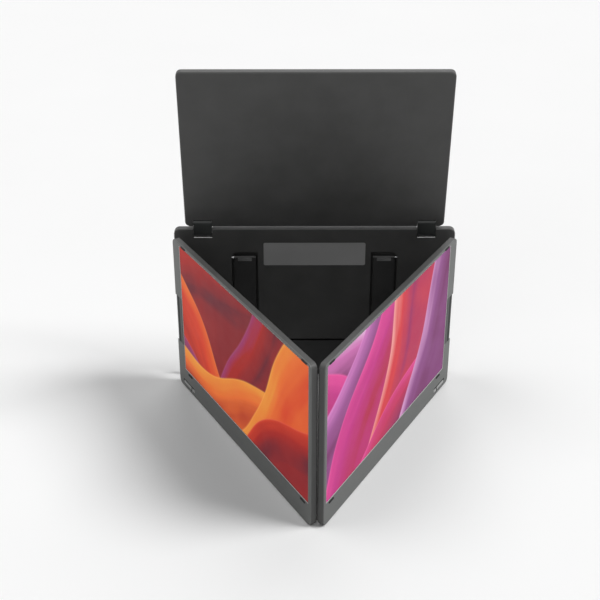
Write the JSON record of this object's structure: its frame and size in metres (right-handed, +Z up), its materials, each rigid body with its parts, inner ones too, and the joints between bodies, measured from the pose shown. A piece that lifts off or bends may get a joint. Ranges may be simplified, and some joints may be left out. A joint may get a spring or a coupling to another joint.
{
  "type": "laptop screen extender",
  "caption": "Free-standing laptop screen extender: frame with kickstand, two side displays folded back to meet behind it, and a top display on hinge links.",
  "frame": {"origin": "middle of the frame's rubber foot, on the surface it stands on, in the middle of the frame's thickness", "axes": "+Z up, +X to the right seen from behind the frame, +Y from the kickstand side to the laptop side"},
  "size_m": [0.3846, 0.364, 0.4691],
  "materials": {
    "frame_shell": "fine matt texture, graphite",
    "screen_shell": "fine matt texture, graphite",
    "bezel": "satin gunmetal paint",
    "hinge_cover": "fine matt texture, darker than the housings",
    "stand_shell": "fine matt texture",
    "clamp_shell": "fine matt texture",
    "buttons": "satin",
    "display_glass": "smooth display face",
    "display_module": "folded sheet and film stack",
    "circuit_board": "solder mask",
    "info_plate": "plain satin plate",
    "rubber": "matt",
    "steel": "plain"
  },
  "bodies": {
    "frame": {"frame_tray": "frame_shell", "frame_cover": "frame_shell", "frame_foot": "rubber", "frame_screws": "steel", "frame_side_leaves": "steel", "frame_side_pins": "steel", "frame_top_leaves": "steel", "frame_top_pins": "steel", "info_plate": "info_plate", "front_pads": "rubber", "stand_pins": "steel"},
    "kickstand": {"kickstand": "stand_shell", "kickstand_foot": "rubber"},
    "top_links": {"top_link_arms": "steel", "top_link_covers": "hinge_cover"},
    "left_link": {"left_link_arm": "steel", "left_link_cover": "hinge_cover"},
    "left_clamp": {"left_clamp": "clamp_shell", "left_clamp_pad": "rubber"},
    "right_link": {"right_link_arm": "steel", "right_link_cover": "hinge_cover"},
    "right_clamp": {"right_clamp": "clamp_shell", "right_clamp_pad": "rubber"},
    "left_rocker": {"left_rocker": "buttons"},
    "left_power_button": {"left_power_button": "buttons"},
    "right_rocker": {"right_rocker": "buttons"},
    "right_power_button": {"right_power_button": "buttons"},
    "top_rocker": {"top_rocker": "buttons"},
    "top_power_button": {"top_power_button": "buttons"},
    "left_screen": {"left_back_cover": "screen_shell", "left_bezel": "bezel", "left_glass": "display_glass", "left_display_module": "display_module", "left_driver_board": "circuit_board", "left_bumpers": "rubber", "left_feet": "rubber", "left_leaf": "steel", "left_pin": "steel", "left_sockets": "steel"},
    "right_screen": {"right_back_cover": "screen_shell", "right_bezel": "bezel", "right_glass": "display_glass", "right_display_module": "display_module", "right_driver_board": "circuit_board", "right_bumpers": "rubber", "right_feet": "rubber", "right_leaf": "steel", "right_pin": "steel", "right_sockets": "steel"},
    "top_screen": {"top_back_cover": "screen_shell", "top_bezel": "bezel", "top_glass": "display_glass", "top_display_module": "display_module", "top_driver_board": "circuit_board", "top_bumpers": "rubber", "top_leaves": "steel", "top_pins": "steel", "top_sockets": "steel"}
  },
  "joints": [
    {"name": "left_link_swing", "type": "hinge", "parent": "frame", "child": "left_link", "pos_m": [-0.1854, 0, 0.1092], "axis": [0, 0, 1], "range_deg": [-180, 0]},
    {"name": "left_screen_swing", "type": "hinge", "parent": "left_link", "child": "left_screen", "pos_m": [-0.1854, -0.0262, 0.1092], "axis": [0, 0, 1], "range_deg": [-119.7, 0]},
    {"name": "right_link_swing", "type": "hinge", "parent": "frame", "child": "right_link", "pos_m": [0.1854, 0, 0.1092], "axis": [0, 0, 1], "range_deg": [0, 180]},
    {"name": "right_screen_swing", "type": "hinge", "parent": "right_link", "child": "right_screen", "pos_m": [0.1854, -0.0262, 0.1092], "axis": [0, 0, 1], "range_deg": [0, 119.7]},
    {"name": "top_link_tilt", "type": "hinge", "parent": "frame", "child": "top_links", "pos_m": [0, 0, 0.2291], "axis": [-1, 0, 0], "range_deg": [-15, 90]},
    {"name": "top_screen_tilt", "type": "hinge", "parent": "top_links", "child": "top_screen", "pos_m": [0, 0, 0.2443], "axis": [-1, 0, 0], "range_deg": [-20, 97.8]},
    {"name": "kickstand_fold", "type": "hinge", "parent": "frame", "child": "kickstand", "pos_m": [0, -0.0018, 0.1912], "axis": [-1, 0, 0], "range_deg": [0, 40]},
    {"name": "left_clamp_slide", "type": "slide", "parent": "frame", "child": "left_clamp", "axis": [-1, 0, 0], "range_m": [-0.03, 0]},
    {"name": "right_clamp_slide", "type": "slide", "parent": "frame", "child": "right_clamp", "axis": [1, 0, 0], "range_m": [-0.03, 0]},
    {"name": "left_rocker_tilt", "type": "hinge", "parent": "left_screen", "child": "left_rocker", "pos_m": [-0.17704, -0.04307, 0.0089], "axis": [0, 0, 1], "range_deg": [-3, 3], "stiffness_Nm_per_rad": 0.4},
    {"name": "left_power_press", "type": "slide", "parent": "left_screen", "child": "left_power_button", "axis": [0.8686, 0.4955, 0], "range_m": [0, 0.0006], "stiffness_N_per_m": 2500},
    {"name": "right_rocker_tilt", "type": "hinge", "parent": "right_screen", "child": "right_rocker", "pos_m": [0.17704, -0.04307, 0.0089], "axis": [0, 0, 1], "range_deg": [-3, 3], "stiffness_Nm_per_rad": 0.4},
    {"name": "right_power_press", "type": "slide", "parent": "right_screen", "child": "right_power_button", "axis": [-0.8686, 0.4955, 0], "range_m": [0, 0.0006], "stiffness_N_per_m": 2500},
    {"name": "top_rocker_tilt", "type": "hinge", "parent": "top_screen", "child": "top_rocker", "pos_m": [0.11615, 0.00068, 0.24742], "axis": [0, -0.1357, 0.9907], "range_deg": [-3, 3], "stiffness_Nm_per_rad": 0.4},
    {"name": "top_power_press", "type": "slide", "parent": "top_screen", "child": "top_power_button", "axis": [0, -0.9907, -0.1357], "range_m": [0, 0.0006], "stiffness_N_per_m": 2500}
  ]
}
